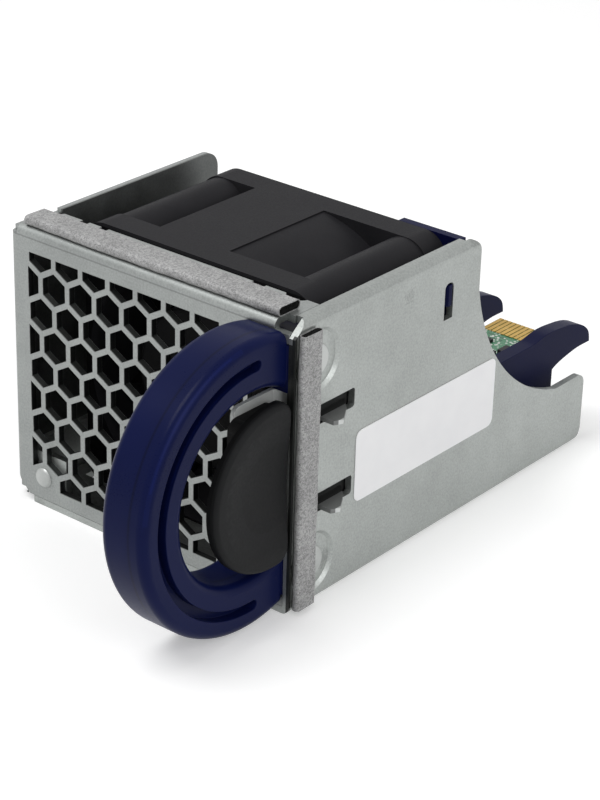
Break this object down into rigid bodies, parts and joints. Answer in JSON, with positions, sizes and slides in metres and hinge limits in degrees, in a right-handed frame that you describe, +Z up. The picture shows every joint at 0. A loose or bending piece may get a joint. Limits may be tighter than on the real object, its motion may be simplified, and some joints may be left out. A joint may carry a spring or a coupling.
{
  "type": "server fan module",
  "caption": "Hot-swap fan module for a server: vented folded-steel chassis, square fan, ring handle, sprung thumb latch and a plug-in edge board.",
  "frame": {"origin": "middle of the chassis width, on the front face of the vented panel, at the underside of the floor, where the module enters its bay", "axes": "+X to the right seen from the front, +Y from the front face to the rear, the way the module is pushed in, +Z up"},
  "size_m": [0.0519, 0.0994, 0.0422],
  "materials": {
    "sheet_steel": "zinc plated, satin",
    "spring_steel": "satin",
    "rivet_steel": "satin",
    "gasket_fabric": "woven conductive fabric",
    "gasket_foam": "open foam, matt",
    "handle_plastic": "moulded, satin",
    "button_plastic": "moulded, matt",
    "label_film": "plain white film",
    "fan_plastic": "glass-filled, matt",
    "carrier_plastic": "moulded, satin",
    "bearing_steel": "polished",
    "yoke_steel": "plain",
    "magnet": "bonded magnet, matt",
    "core_steel": "stacked laminations",
    "copper": "enamelled",
    "board": "solder mask, satin",
    "gold": "plated",
    "chip_plastic": "matt",
    "header_plastic": "moulded",
    "capacitor": "satin"
  },
  "bodies": {
    "module": {"front_panel": "sheet_steel", "base_tray": "sheet_steel", "panel_rivets": "rivet_steel", "top_gasket_fabric": "gasket_fabric", "top_gasket_foam": "gasket_foam", "side_gasket_fabric": "gasket_fabric", "side_gasket_foam": "gasket_foam", "handle_ring": "handle_plastic", "handle_rivets": "rivet_steel", "latch_rivets": "rivet_steel", "side_label": "label_film", "fan_frame": "fan_plastic", "front_bearing": "bearing_steel", "rear_bearing": "bearing_steel", "stator_core": "core_steel", "stator_coils": "copper", "motor_board": "board", "rear_carrier": "carrier_plastic", "fan_screws": "rivet_steel", "circuit_board": "board", "edge_contacts": "gold", "board_header": "header_plastic", "header_pins": "gold", "board_chips": "chip_plastic", "board_capacitors": "capacitor", "board_screws": "rivet_steel"},
    "rotor": {"impeller": "fan_plastic", "rotor_yoke": "yoke_steel", "magnet_ring": "magnet", "rotor_shaft": "bearing_steel", "shaft_clip": "spring_steel", "preload_spring": "spring_steel"},
    "latch": {"latch_spring": "spring_steel", "thumb_button": "button_plastic"}
  },
  "joints": [
    {"name": "rotor_spin", "type": "hinge", "parent": "module", "child": "rotor", "pos_m": [0, 0.02, 0.0203], "axis": [0, 1, 0], "continuous": true},
    {"name": "latch_press", "type": "hinge", "parent": "module", "child": "latch", "pos_m": [0.02315, 0.03, 0.0208], "axis": [0, 0, 1], "range_deg": [-6, 0], "stiffness_Nm_per_rad": 3}
  ]
}
